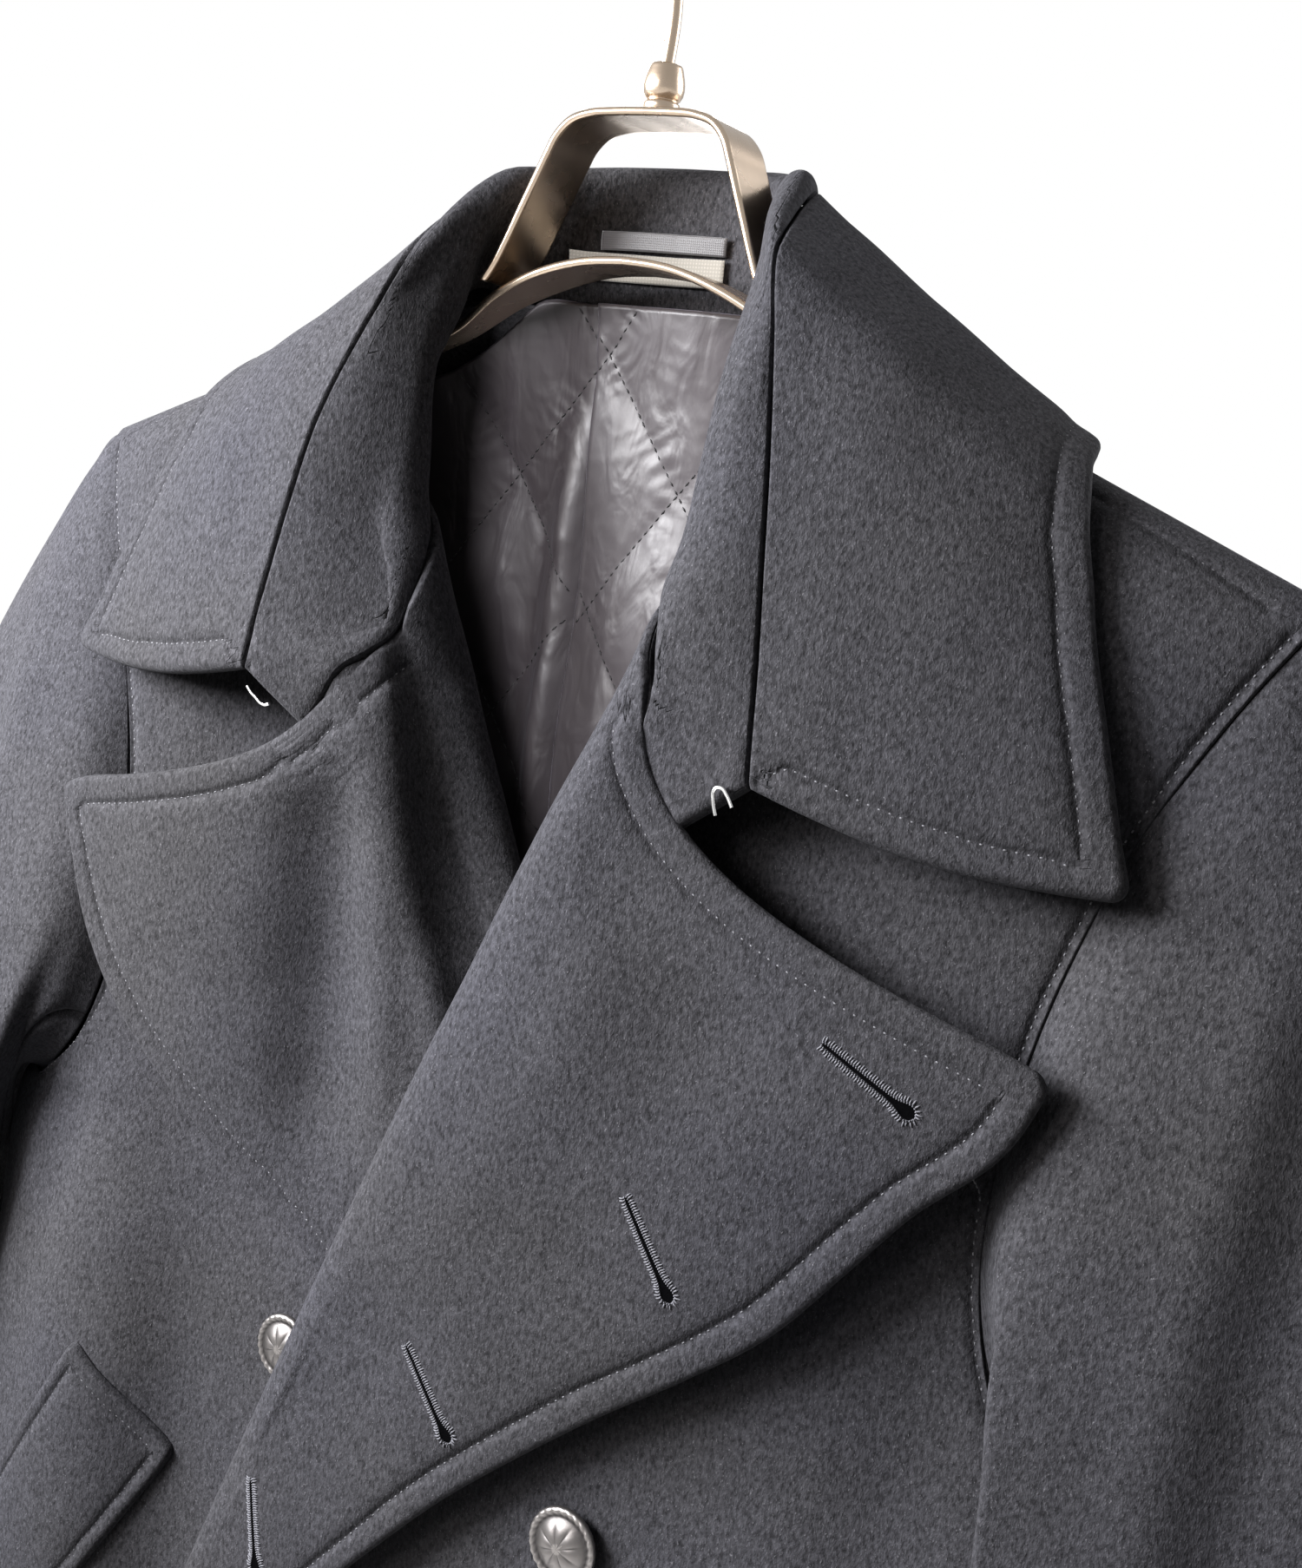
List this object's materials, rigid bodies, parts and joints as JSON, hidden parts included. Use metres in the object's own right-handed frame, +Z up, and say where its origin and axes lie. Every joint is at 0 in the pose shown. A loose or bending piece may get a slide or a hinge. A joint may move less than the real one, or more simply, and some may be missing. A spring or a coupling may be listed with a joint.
{
  "type": "double-breasted pea coat on a metal hanger",
  "caption": "Wool melton pea coat with wide notched lapels rolled open over a quilted lining, hung by the hook of its metal hanger.",
  "frame": {"origin": "top of the hook's inside, where a rail bears", "axes": "+Z up; the coat faces -Y; the wearer's left is +X"},
  "size_m": [0.7172, 0.1242, 0.8844],
  "materials": {
    "melton": "fulled wool, matt with a short nap",
    "lining": "quilted satin",
    "tape": "woven cotton tape",
    "loop": "satin",
    "hanger_metal": "satin nickel plate",
    "button_metal": "antiqued pewter",
    "wire": "polished"
  },
  "bodies": {
    "root": {"back_left": "melton", "back_right": "melton", "button_left_1": "button_metal", "button_left_2": "button_metal", "button_left_3": "button_metal", "button_right_1": "button_metal", "button_right_2": "button_metal", "button_right_3": "button_metal", "collar_eye": "wire", "collar_fall": "melton", "collar_hook": "wire", "collar_stand": "melton", "facing_left": "melton", "facing_right": "melton", "front_left": "melton", "front_right": "melton", "hanger_ferrule": "hanger_metal", "hanger_head": "hanger_metal", "hanger_hook": "hanger_metal", "hanger_shoulders": "hanger_metal", "hanging_loop": "loop", "lining_back_left": "lining", "lining_back_right": "lining", "neck_tape": "tape", "pocket_welt_left": "melton", "pocket_welt_right": "melton", "sleeve_top_left": "melton", "sleeve_top_right": "melton", "sleeve_under_left": "melton", "sleeve_under_right": "melton"}
  },
  "joints": []
}
